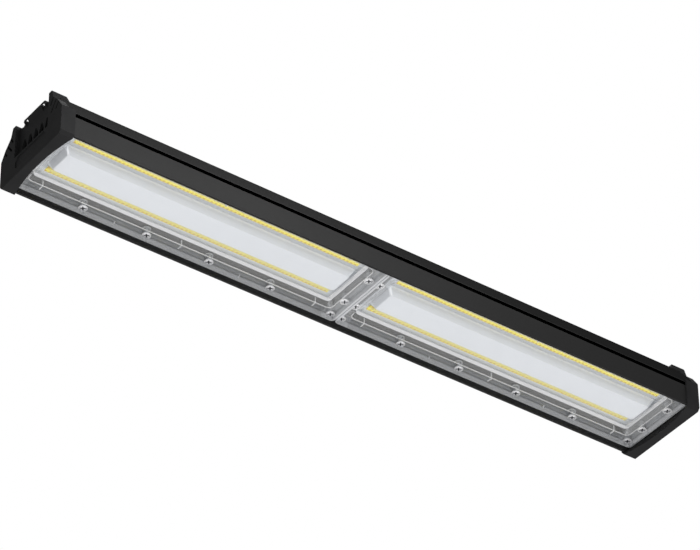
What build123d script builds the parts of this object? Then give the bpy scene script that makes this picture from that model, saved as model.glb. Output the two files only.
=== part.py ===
"""Linear LED high-bay light fixture, millimetres, light side down.

X runs along the fixture, Y across it and Z up. The origin is the middle of the
rectangle on which the rims of the two end caps would stand.
"""
from build123d import *
from math import atan2, degrees
import os

# overall
overall_length = 718.0
overall_width = 100.0

# end caps
cap_side_top = 31.0
cap_shoulder_inset = 6.5
cap_shoulder_height = 41.0
cap_neck_inset = 15.0
cap_neck_height = 49.6
cap_front_wall = 3.0
cap_rim_wall = 2.2
cap_edge_chamfer_across = 2.6
cap_edge_chamfer_up = 3.2
cap_wrap_depth = 14.6
cap_arch_half_width = 44.0
cap_arch_rise = 3.3
cap_lip_thickness = 2.2
cap_lip_depth_at_sides = 14.6
cap_lip_depth_in_middle = 8.7
cap_recess_half_width = 27.2
cap_recess_floor = 21.8
cap_recess_depth = 4.7
cap_recess_back_wall = 2.5
# upper edge of the recess wall from each side inwards: (distance from the side, height)
recess_top_line = (
    (0.0, 58.6),
    (1.8, 57.2),
    (5.6, 56.2),
    (6.5, 57.2),
)
ledge_half_width = 17.2
ledge_reach = 2.9
ledge_height = 5.4
cap_to_housing_end = 0.4

# posts on top of the end caps
post_top = 59.2
post_top_inset = 18.0
post_length = 15.5
post_foot_slant = 2.4
post_underside = 52.8

# pointed air openings in the recess of each end cap
opening_count = 5
opening_pitch = 9.3
opening_width = 7.2
opening_bottom = 25.5
opening_shoulder = 32.5
opening_top = 40.0

# slanted air slots in the shoulders: distance from the side and height of both ends
slot_width = 2.1
slot_runs = (
    ((6.1, 37.8), (9.4, 33.4)),
    ((10.4, 43.2), (17.1, 34.2)),
    ((15.6, 48.6), (18.6, 43.2)),
)

# shallow blank panel on the end faces
panel_depth = 1.0
panel_half_width = 25.5
panel_bottom = 7.6
panel_top = 20.3
panel_corner = 4.6

# extruded housing
housing_half_width = 48.2
skirt_bottom = 2.9
skirt_wall = 2.2
base_bottom = 23.1
base_thickness = 4.0
groove_bottom = 25.3
groove_height = 3.3
groove_depth = 5.0
groove_lip_height = 1.6
fin_thickness = 1.6
fin_count = 4
fin_first_inset = 1.4
fin_last_half_width = 34.6
fin_first_tip = 36.3
fin_last_tip = 52.4
inner_fin_half_width = 30.6
inner_fin_tip = 50.6
channel_half_width = 27.2
channel_wall = 1.8
channel_top = 55.8
channel_lip_reach = 3.0
channel_lip_bottom = 51.8
channel_lip_height = 1.8
wire_hole_radius = 3.2

# clear covers
cover_joint_gap = 0.8
cover_to_housing_end = 0.2
cover_to_skirt = 0.2
cover_corner_radius = 4.0
cover_lip_bottom = 8.4
cover_lip_wall = 2.0
cover_floor = 12.6
cover_floor_thickness = 2.0
cover_basin_inset = 10.4
cover_basin_corner_radius = 5.4
cover_window_inset = 14.9
cover_window_corner_radius = 3.0
cover_window = 17.8
cover_window_thickness = 1.6
cover_ridge_half_width = 14.6
cover_ridge_foot_half_width = 18.8
cover_ridge_end_inset = 21.2
cover_ridge_bottom = 11.7
cover_ridge_wall = 1.4
optic_width = 8.4
optic_height = 1.9
tab_thickness = 1.0
tab_reach = 5.6
tab_height = 2.1
small_tab_reach = 2.8

# screws that hold the covers
cover_screw_edge = 5.9
cover_screw_across_edge = 4.2
cover_screw_count = 6
cover_screw_short_side_half_width = 18.96
cover_screw_head_radius = 3.4
cover_screw_head_height = 2.2
cover_screw_radius = 2.0
cover_screw_bite = 3.4
cover_screw_seat = 14.3
cover_boss_radius = 4.2
screw_clearance = 0.12

# gaskets
gasket_thickness = 1.5
gasket_inset = 0.6
gasket_width = 9.0

# light-emitting boards
board_side_inset = 12.2
board_end_inset = 14.8
board_thickness = 1.6
board_corner_radius = 2.5
led_count = 72
led_pitch = 4.27
led_row_inset = 9.5
led_length = 2.8
led_width = 3.5
led_height = 0.7

# white ridge reflectors
reflector_foot_half_width = 17.1
reflector_top_half_width = 12.6
reflector_top_drop = 8.3
reflector_end_inset = 18.8
reflector_wall = 1.0

# drivers in the channel
driver_length = 250.0
driver_half_width = 20.5
driver_height = 20.5
driver_corner_radius = 1.2
driver_foot_length = 12.0
driver_foot_width = 20.5
driver_foot_thickness = 1.4
driver_to_block = 13.0
driver_screw_radius = 1.6
driver_screw_head_radius = 3.0
driver_screw_head_height = 1.8
driver_screw_bite = 2.4

# connector block between the drivers
block_length = 44.0
block_half_width = 11.0
block_height = 17.0
block_ways = 5
block_port_radius = 1.9
block_port_depth = 5.5
block_edge_chamfer = 1.9

# channel cover
lid_thickness = 1.5
lid_edge_drop = 5.0
lid_fold_radius = 2.0
lid_to_cap = 0.3
lid_screw_count = 5
lid_screw_radius = 1.5
lid_screw_head_radius = 2.6
lid_screw_head_height = 1.6
lid_screw_spacing = 150.0

# hanging plates
plate_half_width = 17.6
plate_overhang = 5.8
plate_length = 46.0
plate_thickness = 1.5
plate_corner_radius = 1.2
plate_clearance = 0.1
plate_notch_half_width = 13.5
plate_notch_width = 4.6
plate_notch_length = 4.6
plate_notch_edge = 1.1
plate_hole_radius = 3.3
plate_hole_from_front = 17.0
plate_screw_from_front = 32.0
plate_screw_half_width = 11.0
plate_screw_radius = 2.0
plate_screw_head_radius = 3.6
plate_screw_head_height = 2.2

# sliding bars that clamp the hanging plates
bar_length = 24.0
bar_clearance = 0.25
bar_thickness = 3.0

# supply gland
gland_from_middle = 40.0
gland_radius = 8.0
gland_nut_width = 19.0
gland_nut_height = 5.0
gland_dome_height = 11.0
gland_dome_radius = 3.7
gland_bore_radius = 3.6
gland_tail = 7.0
gland_lock_height = 3.6
gland_seal_thickness = 1.2

# rubber bushes of the lead holes
grommet_bore_radius = 1.5
grommet_flange_reach = 1.1
grommet_flange_height = 1.5

# tongues and screws that fix the end caps
tongue_length = 12.0
tongue_width = 6.4
tongue_thickness = 1.9
tongue_clearance = 0.15
cap_screw_radius = 1.5
cap_screw_head_radius = 2.7
cap_screw_head_height = 1.7
cap_screw_tip_below_lip = 1.2

# derived places
half_length = overall_length / 2
half_width = overall_width / 2
cap_shoulder_half_width = half_width - cap_shoulder_inset
cap_neck_half_width = half_width - cap_neck_inset
post_top_half_width = half_width - post_top_inset
cap_block_depth = cap_recess_depth + cap_recess_back_wall
cap_inner_face = half_length - cap_block_depth
housing_end = cap_inner_face - cap_to_housing_end
base_top = base_bottom + base_thickness
skirt_inner = housing_half_width - skirt_wall
cover_outer_end = housing_end - cover_to_housing_end
cover_length = cover_outer_end - cover_joint_gap / 2
cover_middle = cover_joint_gap / 2 + cover_length / 2
cover_half_width = skirt_inner - cover_to_skirt
cover_top = base_bottom - gasket_thickness
board_bottom = base_bottom - board_thickness
board_half_width = cover_half_width - board_side_inset
led_row_half_width = board_half_width - led_row_inset
driver_start = block_length / 2 + driver_to_block
driver_middle = driver_start + driver_foot_length + driver_length / 2
lid_bottom = channel_top
lid_top = lid_bottom + lid_thickness
plate_top = lid_top + plate_thickness
channel_inner = channel_half_width - channel_wall
tongue_outer = channel_inner - tongue_clearance
tongue_bottom = channel_lip_bottom + channel_lip_height + tongue_clearance
cap_screw_half_width = channel_inner - channel_lip_reach / 2
cap_screw_from_middle = cap_inner_face - tongue_length / 2
sides = {"left": -1, "right": 1}


def rounded_prism(length, width, radius, bottom, top):
    """A rounded rectangle of the given size, from one height to another."""
    outline = Plane.XY.offset(bottom) * RectangleRounded(length, width, radius)
    return extrude(outline, top - bottom)


def tapered_prism(lower, upper):
    """A block that narrows from one rounded rectangle to another: (length, width, radius, height)."""
    sketches = []
    for length, width, radius, height in (lower, upper):
        sketches.append(Plane.XY.offset(height) * RectangleRounded(length, width, radius))
    return loft(sketches, ruled=True)


def across(points, start, end):
    """A prism along X whose outline is given as (y, z) points."""
    face = make_face(Polyline(*[(start, y, z) for y, z in points], close=True))
    return extrude(face, end - start, dir=(1, 0, 0))


def mirrored(points):
    """The given (y, z) points and their mirror image in the plane y = 0, as one closed ring."""
    return points + [(-y, z) for y, z in reversed(points)]


def upright(radius, bottom, top, x=0.0, y=0.0):
    """A round bar that stands on the height bottom and ends at the height top."""
    circle = Plane.XY.offset(bottom) * Pos(x, y) * Circle(radius)
    return extrude(circle, top - bottom)


def screw(radius, tip, seat, head_radius, head_height, up=1):
    """A pan-head screw on the Z axis; up is the side of the head."""
    shank = upright(radius, min(tip, seat), max(tip, seat))
    top = seat + up * head_height
    return shank + upright(head_radius, min(seat, top), max(seat, top))


# housing

def outer_fins():
    """Outer face and tip height of each outer fin: the tips climb towards the middle."""
    first = housing_half_width - fin_first_inset
    steps = fin_count - 1
    fins = []
    for number in range(fin_count):
        outer_face = first - number * (first - fin_last_half_width) / steps
        fins.append((outer_face, fin_first_tip + number * (fin_last_tip - fin_first_tip) / steps))
    return fins


def housing_section():
    """The drawn section of the extrusion: skirts, base, side grooves, fins and driver channel."""
    groove_top = groove_bottom + groove_height
    lip_top = groove_top + groove_lip_height
    outer = mirrored([
        (housing_half_width, skirt_bottom),
        (housing_half_width, groove_bottom),
        (housing_half_width - groove_depth, groove_bottom),
        (housing_half_width - groove_depth, groove_top),
        (housing_half_width, groove_top),
        (housing_half_width, lip_top),
        (housing_half_width - groove_depth - fin_thickness, lip_top),
        (housing_half_width - groove_depth - fin_thickness, base_top),
    ])
    hollow = mirrored([
        (skirt_inner, skirt_bottom),
        (skirt_inner, base_bottom),
    ])
    section = make_face(Polyline(*outer, close=True)) - make_face(Polyline(*hollow, close=True))
    uprights = []
    for outer_face, tip in outer_fins():
        foot = lip_top if outer_face > housing_half_width - groove_depth else base_top
        uprights.append((outer_face, fin_thickness, foot, tip))
    uprights.append((inner_fin_half_width, fin_thickness, base_top, inner_fin_tip))
    uprights.append((channel_half_width, channel_wall, base_top, channel_top))
    for outer_face, thickness, foot, tip in uprights:
        for side in (-1, 1):
            middle = side * (outer_face - thickness / 2)
            section += Pos(middle, (foot + tip) / 2) * Rectangle(thickness, tip - foot)
    for side in (-1, 1):
        middle = side * (channel_inner - channel_lip_reach / 2)
        height = channel_lip_bottom + channel_lip_height / 2
        section += Pos(middle, height) * Rectangle(channel_lip_reach, channel_lip_height)
    return section


def cover_screw_places(middle):
    """Centres of the screws round one cover."""
    half = cover_length / 2 - cover_screw_edge
    corner = cover_half_width - cover_screw_across_edge
    pitch = 2 * half / (cover_screw_count - 1)
    places = []
    for side in (-1, 1):
        for number in range(cover_screw_count):
            places.append((middle - half + number * pitch, side * corner))
        for end in (-1, 1):
            places.append((middle + end * half, side * cover_screw_short_side_half_width))
    return places


def driver_screw_places(middle):
    reach = driver_length / 2 + driver_foot_length / 2
    return [(middle - reach, 0.0), (middle + reach, 0.0)]


def wire_hole_place(side):
    """The leads pass midway between the connector block and the nearest foot of a driver."""
    return side * (block_length + driver_to_block) / 2


def cap_screw_places(side):
    return [(side * cap_screw_from_middle, -cap_screw_half_width), (side * cap_screw_from_middle, cap_screw_half_width)]


def lid_screw_bore(x, y_side, start, end):
    """A bore across the wall of the channel for one screw of its lid."""
    height = lid_bottom - lid_edge_drop / 2
    plane = Plane(origin=(x, y_side * start, height), z_dir=(0, y_side, 0))
    return extrude(plane * Circle(lid_screw_radius + screw_clearance), end - start)


def make_housing():
    section = housing_section()
    face = Plane(origin=(-housing_end, 0, 0), x_dir=(0, 1, 0), z_dir=(1, 0, 0)) * section
    body = extrude(face, 2 * housing_end)
    holes = []
    for side in sides.values():
        for x, y in cover_screw_places(side * cover_middle):
            holes.append(upright(cover_screw_radius + screw_clearance, base_bottom,
                                 base_bottom + cover_screw_bite + screw_clearance, x, y))
        for x, y in driver_screw_places(side * driver_middle):
            holes.append(upright(driver_screw_radius + screw_clearance,
                                 base_top - driver_screw_bite - screw_clearance, base_top, x, y))
        for x, y in cap_screw_places(side):
            holes.append(upright(cap_screw_radius + screw_clearance, channel_lip_bottom,
                                 channel_lip_bottom + channel_lip_height, x, y))
        holes.append(upright(wire_hole_radius, base_bottom, base_top, wire_hole_place(side)))
    for x, y_side in lid_screw_places():
        holes.append(lid_screw_bore(x, y_side, channel_inner, channel_half_width))
    return body - holes


# end caps

def cap_outline():
    return mirrored([
        (half_width - cap_edge_chamfer_across, 0),
        (half_width, cap_edge_chamfer_up),
        (half_width, cap_side_top),
        (cap_shoulder_half_width, cap_shoulder_height),
        (cap_neck_half_width, cap_neck_height),
        (cap_recess_half_width, cap_neck_height),
    ])


def arch_below(start, end, lift):
    """The space under the arched lower edge of a cap, from start to end along X."""
    low = -cap_arch_rise
    arc = ThreePointArc((start, -cap_arch_half_width, lift), (start, 0, cap_arch_rise + lift),
                        (start, cap_arch_half_width, lift))
    frame = Polyline((start, cap_arch_half_width, lift), (start, cap_arch_half_width, low),
                     (start, -cap_arch_half_width, low), (start, -cap_arch_half_width, lift))
    return extrude(make_face([arc, frame]), end - start, dir=(1, 0, 0))


def pointed_opening(y, start, end):
    half = opening_width / 2
    return across([
        (y - half, opening_bottom),
        (y + half, opening_bottom),
        (y + half, opening_shoulder),
        (y + half / 3, opening_top),
        (y - half / 3, opening_top),
        (y - half, opening_shoulder),
    ], start, end)


def shoulder_slot(upper, lower, side, start, end):
    """A slanted slot with round ends, cut along X."""
    run_across = lower[0] - upper[0]
    run_up = upper[1] - lower[1]
    length = (run_across ** 2 + run_up ** 2) ** 0.5 + slot_width
    middle_y = side * (half_width - (upper[0] + lower[0]) / 2)
    middle_z = (upper[1] + lower[1]) / 2
    turn = degrees(atan2(run_up, side * run_across))
    plane = Plane(origin=(start, middle_y, middle_z), x_dir=(0, 1, 0), z_dir=(1, 0, 0))
    return extrude(plane * Rot(0, 0, turn) * SlotOverall(length, slot_width), end - start)


def cap_post(side):
    """One of the two posts that stand on a cap, with a sloping inner end."""
    outline = [
        (side * cap_recess_half_width, cap_neck_height - cap_rim_wall),
        (side * cap_neck_half_width, cap_neck_height - cap_rim_wall),
        (side * cap_neck_half_width, cap_neck_height),
        (side * post_top_half_width, post_top),
        (side * cap_recess_half_width, post_top),
    ]
    top_end = half_length - post_length
    post = across(outline, top_end - post_foot_slant, half_length)
    slope = make_face(Polyline((top_end, 0, post_top), (top_end - post_foot_slant, 0, post_underside),
                               (top_end - 2 * post_foot_slant, 0, post_underside),
                               (top_end - 2 * post_foot_slant, 0, post_top), close=True))
    post -= extrude(slope, overall_width, both=True)
    under = Box(post_length + 2 * post_foot_slant, overall_width, post_underside, align=(Align.MAX, Align.CENTER, Align.MIN))
    return post - Pos(cap_inner_face, 0, 0) * under


def plate_ledge():
    """A ledge that slopes out from the recess wall to just under the hanging plate, open at the plate's notches."""
    wall_face = half_length - cap_recess_depth
    ledge_top = channel_top + lid_thickness - plate_clearance
    side_view = Polyline((wall_face, 0, ledge_top - ledge_height), (wall_face, 0, ledge_top),
                         (wall_face + ledge_reach, 0, ledge_top), close=True)
    ledge = extrude(make_face(side_view), ledge_half_width, dir=(0, 1, 0), both=True)
    for side in (-1, 1):
        gap = Box(ledge_reach, plate_notch_width, ledge_height, align=(Align.MIN, Align.CENTER, Align.MAX))
        ledge -= Pos(wall_face, side * plate_notch_half_width, ledge_top) * gap
    return ledge


def panel_recess():
    """The shallow blank panel with clipped upper corners in the end face."""
    return across(mirrored([
        (panel_half_width - panel_corner / 2, panel_bottom),
        (panel_half_width, panel_bottom + panel_corner / 2),
        (panel_half_width, panel_top - panel_corner),
        (panel_half_width - panel_corner, panel_top),
    ]), half_length - panel_depth, half_length)


def cap_lip():
    """The lip under the end of the cover: arched in height and hollow in plan."""
    inner_side = half_length - cap_lip_depth_at_sides
    inner_middle = half_length - cap_lip_depth_in_middle
    reach = half_width
    edge = ThreePointArc((inner_side, -reach, 0), (inner_middle, 0, 0), (inner_side, reach, 0))
    back = Polyline((inner_side, reach, 0), (half_length, reach, 0), (half_length, -reach, 0), (inner_side, -reach, 0))
    plan = extrude(make_face([edge, back]), cap_arch_rise + cap_lip_thickness)
    above = Box(overall_length, overall_width, overall_width, align=(Align.CENTER, Align.CENTER, Align.MIN))
    above = Pos(0, 0, cap_lip_thickness) * above
    above -= arch_below(0, overall_length, cap_lip_thickness)
    outline = across(cap_outline(), half_length - cap_lip_depth_at_sides, half_length)
    return (plan & outline) - above


def make_cap():
    """The right-hand cap; the left-hand one is its mirror image."""
    block = across(cap_outline(), cap_inner_face, half_length)
    room = across(mirrored([
        (housing_half_width, skirt_bottom),
        (housing_half_width, cap_side_top),
        (cap_shoulder_half_width - cap_rim_wall, cap_shoulder_height - cap_rim_wall),
        (cap_neck_half_width - cap_rim_wall, cap_neck_height - cap_rim_wall),
    ]), cap_inner_face, half_length - cap_front_wall)
    keep = across(mirrored([
        (cap_recess_half_width + cap_rim_wall, cap_recess_floor - cap_rim_wall),
        (cap_recess_half_width + cap_rim_wall, cap_neck_height),
    ]), cap_inner_face, half_length)
    shell = block - (room - keep)
    top_line = [(cap_recess_half_width - inset, height) for inset, height in recess_top_line]
    shell += across(mirrored(
        [(cap_recess_half_width, cap_recess_floor)] + top_line
    ), cap_inner_face, cap_inner_face + cap_recess_back_wall)
    wrap = across(cap_outline(), half_length - cap_wrap_depth, half_length)
    slab = Pos(half_length, 0, 0) * Box(cap_wrap_depth, overall_width, cap_side_top,
                                        align=(Align.MAX, Align.CENTER, Align.MIN))
    core = Pos(half_length, 0, 0) * Box(2 * cap_wrap_depth, 2 * (housing_half_width + cover_to_skirt), overall_width)
    shell += (wrap & slab) - core
    for side in (-1, 1):
        shell += cap_post(side)
    shell -= across(mirrored([
        (cap_recess_half_width, cap_recess_floor),
        (cap_recess_half_width, post_top),
    ]), half_length - cap_recess_depth, half_length)
    shell -= arch_below(0, overall_length, 0)
    shell += cap_lip()
    shell += plate_ledge()
    cuts = [panel_recess()]
    for number in range(opening_count):
        y = (number - (opening_count - 1) / 2) * opening_pitch
        cuts.append(pointed_opening(y, cap_inner_face, cap_inner_face + cap_recess_back_wall))
    for upper, lower in slot_runs:
        for side in (-1, 1):
            cuts.append(shoulder_slot(upper, lower, side, cap_inner_face, half_length))
    for x, y in cap_screw_places(1):
        tongue_middle = (1 if y > 0 else -1) * (tongue_outer - tongue_width / 2)
        tongue = Box(tongue_length, tongue_width, tongue_thickness, align=(Align.MAX, Align.CENTER, Align.MIN))
        shell += Pos(cap_inner_face, tongue_middle, tongue_bottom) * tongue
        cuts.append(upright(cap_screw_radius + screw_clearance, tongue_bottom, tongue_bottom + tongue_thickness, x, y))
    return shell - cuts


def make_cap_screws():
    """Two screws that pass the lid and the tongues of the right-hand cap into the channel lips."""
    part = screw(cap_screw_radius, channel_lip_bottom - cap_screw_tip_below_lip, lid_top,
                 cap_screw_head_radius, cap_screw_head_height)
    return [Pos(x, y, 0) * part for x, y in cap_screw_places(1)]


# covers, gaskets, boards and reflectors

def basin(inset_change, height_change):
    """The tapered hollow of a cover, grown outwards and upwards for its outer skin."""
    low_inset = cover_basin_inset - inset_change
    high_inset = cover_window_inset - inset_change
    lower = (cover_length - 2 * low_inset, 2 * (cover_half_width - low_inset),
             cover_basin_corner_radius + inset_change, cover_floor)
    upper = (cover_length - 2 * high_inset, 2 * (cover_half_width - high_inset),
             cover_window_corner_radius + inset_change, cover_window + height_change)
    return tapered_prism(lower, upper)


def ridge(wall):
    """The raised middle of a cover, made smaller all round by wall."""
    foot = cover_window + cover_window_thickness
    low = cover_ridge_bottom + wall
    length = cover_length - 2 * cover_ridge_end_inset
    slope = cover_ridge_foot_half_width - cover_ridge_half_width
    radius = cover_window_corner_radius
    return tapered_prism(
        (length - 2 * wall, 2 * (cover_ridge_half_width - wall), radius, low),
        (length + 2 * slope - 2 * wall, 2 * (cover_ridge_foot_half_width - wall), radius, foot))


def optic(side):
    """The rounded strip lens under one row of lights."""
    length = cover_length - 2 * (cover_window_inset + optic_height)
    arc = ThreePointArc((0, -optic_width / 2, cover_window), (0, 0, cover_window - optic_height),
                        (0, optic_width / 2, cover_window))
    face = make_face([arc, Line((0, optic_width / 2, cover_window), (0, -optic_width / 2, cover_window))])
    return Pos(-length / 2, side * led_row_half_width, 0) * extrude(face, length, dir=(1, 0, 0))


def floor_tabs():
    """Thin upright tabs that stiffen the long flanges between the screws."""
    pitch = (cover_length - 2 * cover_screw_edge) / (cover_screw_count - 1)
    foot = cover_half_width - cover_lip_wall
    inner = cover_half_width - cover_basin_inset
    tabs = []
    for side in (-1, 1):
        for number in range(1, cover_screw_count):
            x = -cover_length / 2 + cover_screw_edge + (number - 1 / 2) * pitch
            wide = number in (1, cover_screw_count // 2, cover_screw_count - 1)
            start = inner if wide else foot
            reach = tab_reach if wide else -small_tab_reach
            outline = [(side * start, cover_floor), (side * (start + reach), cover_floor),
                       (side * start, cover_floor - tab_height)]
            tabs.append(across(outline, x - tab_thickness / 2, x + tab_thickness / 2))
    return tabs


def make_cover():
    """A clear cover centred on X = 0."""
    width = 2 * cover_half_width
    body = rounded_prism(cover_length, width, cover_corner_radius, cover_lip_bottom, cover_top)
    inner = (cover_length - 2 * cover_lip_wall, width - 2 * cover_lip_wall, cover_corner_radius - cover_lip_wall)
    body -= rounded_prism(*inner, cover_lip_bottom, cover_floor)
    body -= rounded_prism(*inner, cover_floor + cover_floor_thickness, cover_top)
    body += basin(cover_floor_thickness, cover_window_thickness)
    body -= basin(0, 0)
    body += ridge(0)
    body += [optic(-1), optic(1)]
    body -= ridge(cover_ridge_wall)
    body += floor_tabs()
    bosses = []
    bores = []
    for x, y in cover_screw_places(0):
        bosses.append(upright(cover_boss_radius, cover_floor, cover_top, x, y))
        bores.append(upright(cover_screw_radius + screw_clearance, cover_floor, cover_top, x, y))
        bores.append(upright(cover_screw_head_radius + screw_clearance, cover_lip_bottom, cover_screw_seat, x, y))
    return (body + bosses) - bores


def make_cover_screws():
    part = screw(cover_screw_radius, base_bottom + cover_screw_bite, cover_screw_seat,
                 cover_screw_head_radius, cover_screw_head_height, up=-1)
    return [Pos(x, y, 0) * part for x, y in cover_screw_places(0)]


def make_gasket():
    """A flat sealing ring between the cover and the base, pierced for the screws."""
    length = cover_length - 2 * gasket_inset
    width = 2 * (cover_half_width - gasket_inset)
    ring = rounded_prism(length, width, cover_corner_radius, cover_top, base_bottom)
    ring -= rounded_prism(length - 2 * gasket_width, width - 2 * gasket_width, cover_corner_radius, cover_top, base_bottom)
    holes = []
    for x, y in cover_screw_places(0):
        holes.append(upright(cover_screw_radius + screw_clearance, cover_top, base_bottom, x, y))
    return ring - holes


def make_board():
    """An aluminium board that carries two rows of lights, with a hole for its leads."""
    length = cover_length - 2 * board_end_inset
    board = rounded_prism(length, 2 * board_half_width, board_corner_radius, board_bottom, base_bottom)
    holes = []
    for side in sides.values():
        lead_hole = side * wire_hole_place(side) - cover_middle
        holes.append(upright(wire_hole_radius - screw_clearance, board_bottom, base_bottom, side * lead_hole))
    return board - holes


def make_leds(side):
    """One row of light-emitting packages."""
    solids = []
    for number in range(led_count):
        x = (number - (led_count - 1) / 2) * led_pitch
        package = Box(led_length, led_width, led_height, align=(Align.CENTER, Align.CENTER, Align.MAX))
        solids.append(Pos(x, side * led_row_half_width, board_bottom) * package)
    return solids


def make_reflector():
    """A white ridge between the rows: a thin tray, upside down, with sloping walls."""
    slope = reflector_foot_half_width - reflector_top_half_width
    length = cover_length - 2 * reflector_end_inset
    foot = (length, 2 * reflector_foot_half_width, board_corner_radius, board_bottom)
    top = (length - 2 * slope, 2 * reflector_top_half_width, board_corner_radius, board_bottom - reflector_top_drop)
    outer = tapered_prism(top, foot)
    wall = reflector_wall
    inner_foot = (length - 2 * wall, foot[1] - 2 * wall, board_corner_radius - wall, board_bottom)
    inner_top = (top[0] - 2 * wall, top[1] - 2 * wall, board_corner_radius - wall, top[3] + wall)
    return outer - tapered_prism(inner_top, inner_foot)


# inside the channel

def make_driver():
    """A driver case centred on X = 0, with a foot at each end."""
    case = rounded_prism(driver_length, 2 * driver_half_width, driver_corner_radius,
                         base_top, base_top + driver_height)
    for end in (-1, 1):
        foot = Box(driver_foot_length, driver_foot_width, driver_foot_thickness,
                   align=(Align.CENTER, Align.CENTER, Align.MIN))
        case += Pos(end * (driver_length / 2 + driver_foot_length / 2), 0, base_top) * foot
    holes = []
    for x, y in driver_screw_places(0):
        holes.append(upright(driver_screw_radius + screw_clearance, base_top, base_top + driver_foot_thickness, x, y))
    return case - holes


def make_driver_screws():
    seat = base_top + driver_foot_thickness
    part = screw(driver_screw_radius, base_top - driver_screw_bite, seat,
                 driver_screw_head_radius, driver_screw_head_height)
    solids = []
    for side in sides.values():
        for x, y in driver_screw_places(side * driver_middle):
            solids.append(Pos(x, y, 0) * part)
    return solids


def make_connector_block():
    """The push-in connector block for the supply, in the middle of the channel."""
    block = Box(block_length, 2 * block_half_width, block_height, align=(Align.CENTER, Align.CENTER, Align.MIN))
    block = Pos(0, 0, base_top) * block
    block = chamfer(block.edges().group_by(Axis.Z)[-1], block_edge_chamfer)
    ports = []
    pitch = block_length / block_ways
    for number in range(block_ways):
        x = (number - (block_ways - 1) / 2) * pitch
        port = Plane(origin=(x, block_half_width, base_top + block_height / 2), z_dir=(0, 1, 0))
        ports.append(extrude(port * Circle(block_port_radius), -block_port_depth))
    return block - ports


def lid_screw_places():
    """Places of the lid's screws: x, and the side of the channel."""
    places = []
    middle = (lid_screw_count - 1) / 2
    for side in (-1, 1):
        for number in range(lid_screw_count):
            places.append(((number - middle) * lid_screw_spacing, side))
    return places


def make_lid():
    """The folded sheet cover of the channel; its edges hang down outside the channel walls."""
    hollow = channel_half_width + screw_clearance
    reach = hollow + lid_thickness
    end = half_length - post_length - post_foot_slant - lid_to_cap
    edge_bottom = lid_bottom - lid_edge_drop
    middle = across(mirrored([(reach, edge_bottom), (reach, lid_top)]), -end, end)
    folds = [edge for edge in middle.edges().filter_by(Axis.X) if edge.center().Z > lid_bottom]
    middle = fillet(folds, lid_fold_radius)
    middle -= across(mirrored([(hollow, edge_bottom), (hollow, lid_bottom)]), -end, end)
    narrow = channel_half_width - lid_to_cap
    tongue_end = cap_inner_face - lid_to_cap
    lid = middle + across(mirrored([(narrow, lid_bottom), (narrow, lid_top)]), -tongue_end, tongue_end)
    holes = []
    for x, y_side in lid_screw_places():
        holes.append(lid_screw_bore(x, y_side, hollow, reach))
    for side in sides.values():
        for x, y in plate_screw_places(side):
            holes.append(upright(plate_screw_radius + screw_clearance, lid_bottom, lid_top, x, y))
        for x, y in cap_screw_places(side):
            holes.append(upright(cap_screw_radius + screw_clearance, lid_bottom, lid_top, x, y))
        holes.append(upright(plate_hole_radius, lid_bottom, lid_top, side * (plate_front() - plate_hole_from_front)))
    holes.append(upright(gland_radius + screw_clearance, lid_bottom, lid_top, gland_from_middle))
    return lid - holes


def plate_front():
    return cap_inner_face + plate_overhang - cap_to_housing_end


def plate_screw_places(side):
    x = side * (plate_front() - plate_screw_from_front)
    return [(x, -plate_screw_half_width), (x, plate_screw_half_width)]


def make_plate():
    """The right-hand hanging plate: a flat pressing with two notches near its front corners."""
    front = plate_front()
    middle = front - plate_length / 2
    plate = rounded_prism(plate_length, 2 * plate_half_width, plate_corner_radius, lid_top, plate_top)
    plate = Pos(middle, 0, 0) * plate
    cuts = []
    for side in (-1, 1):
        notch = Box(plate_notch_length, plate_notch_width, plate_thickness, align=(Align.MAX, Align.CENTER, Align.MIN))
        cuts.append(Pos(front - plate_notch_edge, side * plate_notch_half_width, lid_top) * notch)
    cuts.append(upright(plate_hole_radius, lid_top, plate_top, front - plate_hole_from_front))
    for x, y in plate_screw_places(1):
        cuts.append(upright(plate_screw_radius + screw_clearance, lid_top, plate_top, x, y))
    return plate - cuts


def make_bar():
    """The right-hand clamping bar, held up against the lips of the channel."""
    width = 2 * (channel_inner - bar_clearance)
    x = plate_front() - plate_screw_from_front
    bar = Box(bar_length, width, bar_thickness, align=(Align.CENTER, Align.CENTER, Align.MAX))
    bar = Pos(x, 0, channel_lip_bottom) * bar
    holes = []
    for place_x, place_y in plate_screw_places(1):
        holes.append(upright(plate_screw_radius + screw_clearance, channel_lip_bottom - bar_thickness,
                             channel_lip_bottom, place_x, place_y))
    return bar - holes


def make_plate_screws():
    part = screw(plate_screw_radius, channel_lip_bottom - bar_thickness, plate_top,
                 plate_screw_head_radius, plate_screw_head_height)
    return [Pos(x, y, 0) * part for x, y in plate_screw_places(1)]


def make_lid_screws():
    """Screws through the hanging edges of the lid into the channel walls."""
    seat = channel_half_width + screw_clearance + lid_thickness
    part = screw(lid_screw_radius, channel_inner, seat, lid_screw_head_radius, lid_screw_head_height)
    height = lid_bottom - lid_edge_drop / 2
    solids = []
    for x, y_side in lid_screw_places():
        solids.append(Pos(x, 0, height) * Rot(-90 * y_side, 0, 0) * part)
    return solids


def make_gland_body():
    """The threaded tube and hexagon of the supply gland."""
    bottom = lid_bottom - gland_tail
    seat = lid_top + gland_seal_thickness
    body = upright(gland_radius, bottom, seat)
    hexagon = Plane.XY.offset(seat) * RegularPolygon(gland_nut_width / 2, 6, major_radius=False)
    body += extrude(hexagon, gland_nut_height)
    body -= upright(gland_bore_radius, bottom, seat + gland_nut_height)
    return Pos(gland_from_middle, 0, 0) * body


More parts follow.
